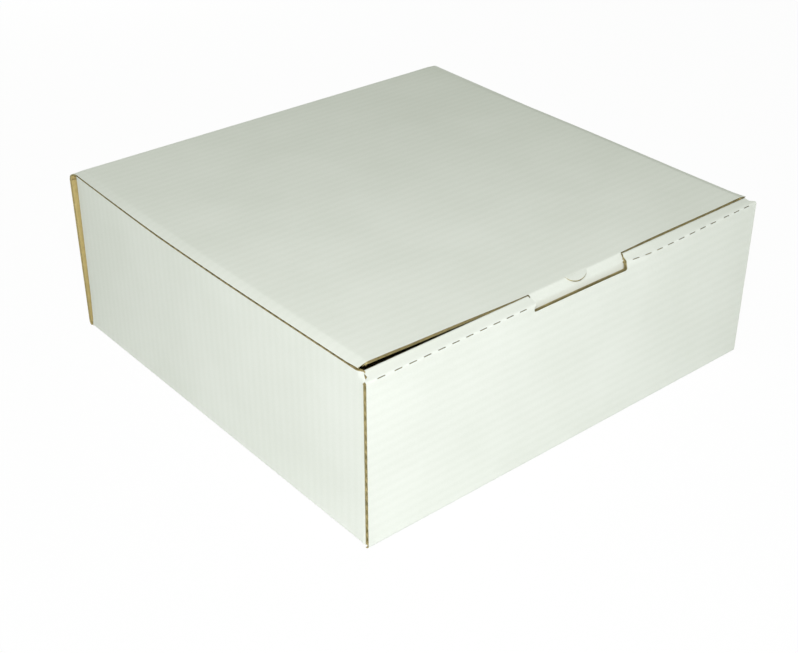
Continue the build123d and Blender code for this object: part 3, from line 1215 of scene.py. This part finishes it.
# %% Moves of the lid
lid_shift = 1.2 * mm
tab_skew = 2.0 * mm
edge_crush = 0.32
lip_tilt = 0.30
lip_roll = 0.30
crush_row = (-lid_front - 6 * mm, -lid_front)
crush_ends = (tab_half, tab_half + 2 * mm)
skew_row, skew_levels = (125 * mm, 144 * mm), (notch_floor, lid_top)
skew_left, skew_right = (10 * mm, tab_half), (-75 * mm, -tab_half)
shift_ends = (-140 * mm, -60 * mm)
lid_sides = (146 * mm, 152 * mm)


def settle_lid(x, y, z):
    low = droop(x, y)
    if x < 0:
        x += lean(y, z) * ease(-x, *left_end)
    if z > lid_underside - tiny:
        z += (lid_top - z) * edge_crush * ease(-y, *crush_row) * ease(abs(x), *crush_ends)
    z += rise(y) * min(max((lid_top - z) / board, 0), 1) * ease(abs(x), *lid_sides)
    by_tab = ease(x, *skew_left) * ease(-x, *skew_right) * ease(-y, *skew_row)
    x += tab_skew * by_tab * ease(z, *skew_levels)
    x += lid_shift * ease(-y, *sag_row) * ease(-abs(x), *shift_ends)
    return x, y, z - low


def settle_lip(x, y, z):
    reach = max(lid_front - y, 0)
    across = (x - lip_middle) / lip_half
    return settle_lid(x, y, z - reach * (lip_tilt - lip_roll * across))


def settle_crease(x, y, z):
    share = ease(half_depth - y + z - lid_top, -hinge_band, hinge_band)
    slope = min(max((abs(x) - slope_end.x) / bead_slope, 0), 1)
    z -= slope * share * (lid_top - bead.y)
    return Vector(settle_wrap(x, y, z)).lerp(Vector(settle_lid(x, y, z)), share)


print("front edge crushed by", round(edge_crush * board / mm, 2), "mm")

# %% [markdown]
# Before a piece is moved, each vertex is told how far it lies across the flutes, so that the washboard of
# the white paper follows the board and not the room. Then the moves are made and the tray's parts joined.

# %% Settle the pieces


def note_flutes(piece):
    """Writes on each vertex how far it lies across the flutes."""
    attribute = piece.data.attributes.new(across_name, "FLOAT", "POINT")
    wall = half_depth - board - tiny
    for vertex, value in zip(piece.data.vertices, attribute.data):
        x, y, z = vertex.co
        upright = abs(y) > wall or (y < lid_front and abs(x) < inner_wall_half and z > board)
        value.value = (half_depth + z) * (1 if y > 0 else -1) if upright else y


def settle(move, *pieces):
    for piece in pieces:
        note_flutes(piece)
        for vertex in piece.data.vertices:
            vertex.co = move(*vertex.co)


settle(settle_wrap, wrap_outer, wrap_inner, wrap_flutes)
settle(settle_side, *sides_outer, *sides_inner, side_flutes)
settle(settle_lid, lid_outer, lid_inner, lid_flutes)
settle(settle_lip, thumb_lip)
settle(settle_crease, hinge_crease)
tray_outer = join([wrap_outer, *sides_outer], "tray_outer_paper")
tray_inner = join([wrap_inner, *sides_inner], "tray_inner_paper")
tray_flutes = join([wrap_flutes, side_flutes], "tray_flutes")
print("settled", tray_outer.name, tray_inner.name, tray_flutes.name)

# %% [markdown]
# ## Riding on the bodies
# Every piece but the hinge crease rides on the tray or on the lid. The hinge crease belongs to both,
# and here it is only smoothed and left where it lies.

# %% Ride
smooth_angle = radians(35)
for piece, body, slot in (
    (tray_outer, "tray", "board"),
    (tray_inner, "tray", "board"),
    (tray_flutes, "tray", "board"),
    (lid_outer, "lid", "lid_board"),
    (lid_inner, "lid", "lid_board"),
    (lid_flutes, "lid", "lid_board"),
    (thumb_lip, "lid", "lid_board"),
):
    make_active(piece)
    bpy.ops.object.shade_smooth_by_angle(angle=smooth_angle)
    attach(piece, body)
    print(piece.name, "rides on the", body)
make_active(hinge_crease)
bpy.ops.object.shade_smooth_by_angle(angle=smooth_angle)
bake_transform(hinge_crease)
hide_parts("tray")
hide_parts("lid")

# %% [markdown]
# ## Floor
# The photograph is plain white all round. The floor looks almost white to the camera by itself, and
# keeps a trace of the shadow, but it gives off no light: rays that carry light see a pale matt floor.

# %% Floor
floor_white = 0.96


def seen_directly(wire):
    """1 for rays from the camera, off a gloss or through glass, and 0 for rays that carry light."""
    seen = wire.node("ShaderNodeLightPath", out="Is Camera Ray")
    for ray in ("Is Glossy Ray", "Is Transmission Ray"):
        seen = seen.math("MAXIMUM", seen, wire.node("ShaderNodeLightPath", out=ray))
    return seen


bpy.ops.object.select_all(action="DESELECT")
bpy.ops.mesh.primitive_plane_add(size=8)
floor = bpy.context.object
floor.name = "floor"
floor_finish = bpy.data.materials.new("pale_floor")
floor_finish.use_nodes = True
floor_finish.node_tree.nodes.clear()
wire = Wire(floor_finish.node_tree)
lit = wire.node("ShaderNodeBsdfDiffuse", None, {"Color": (0.95, 0.955, 0.965, 1)})
glow = wire.node("ShaderNodeEmission", None, {"Color": (1, 1, 1, 1), "Strength": 1.0})
shade = wire.node("ShaderNodeMixShader", None, {0: seen_directly(wire) * floor_white, 1: lit, 2: glow})
wire.node("ShaderNodeOutputMaterial", None, {"Surface": shade})
floor.data.materials.append(floor_finish)
print("floor", floor.dimensions.x, "m wide")

# %% [markdown]
# ## Lamps
# The photograph was lit by one soft flash close above the camera. A weak, low lamp behind the box keeps
# the sides that the photograph does not show from going dark. The camera does not see that lamp.

# %% Lamps
lamp_aim = Vector((0, 0, 0.06))


def add_lamp(place, size, power, colour):
    """A round lamp that looks at the middle of the box."""
    bpy.ops.object.light_add(type="AREA", location=place)
    lamp = bpy.context.object
    lamp.data.shape = "DISK"
    lamp.data.size = size
    lamp.data.energy = power
    lamp.data.color = colour
    lamp.rotation_euler = (place - lamp_aim).to_track_quat("Z", "Y").to_euler()
    return lamp


flash = add_lamp(Vector((-0.60, -0.72, 0.76)), 0.35, 9.6, (0.97, 0.975, 1.0))
fill = add_lamp(Vector((0.40, 1.15, 0.12)), 0.3, 4.5, (0.98, 1.0, 0.96))
fill.visible_camera = False
print("flash", round(flash.data.energy, 1), "W, rear lamp", round(fill.data.energy, 1), "W")

# %% [markdown]
# ## Room light
# The rest of the light comes evenly from all round, a little green as in the photograph. The camera
# itself sees plain white there.

# %% World
room_light = (0.298, 0.322, 0.262, 1)
world = bpy.data.worlds.new("studio")
bpy.context.scene.world = world
world.use_nodes = True
world.node_tree.nodes.clear()
wire = Wire(world.node_tree)
colour = seen_directly(wire).mix(room_light, (1, 1, 1, 1))
sky = wire.node("ShaderNodeBackground", None, {"Color": colour, "Strength": 1.0})
wire.node("ShaderNodeOutputWorld", None, {"Surface": sky})
bpy.context.scene.view_settings.view_transform = "Standard"
print("room light", room_light[:3])
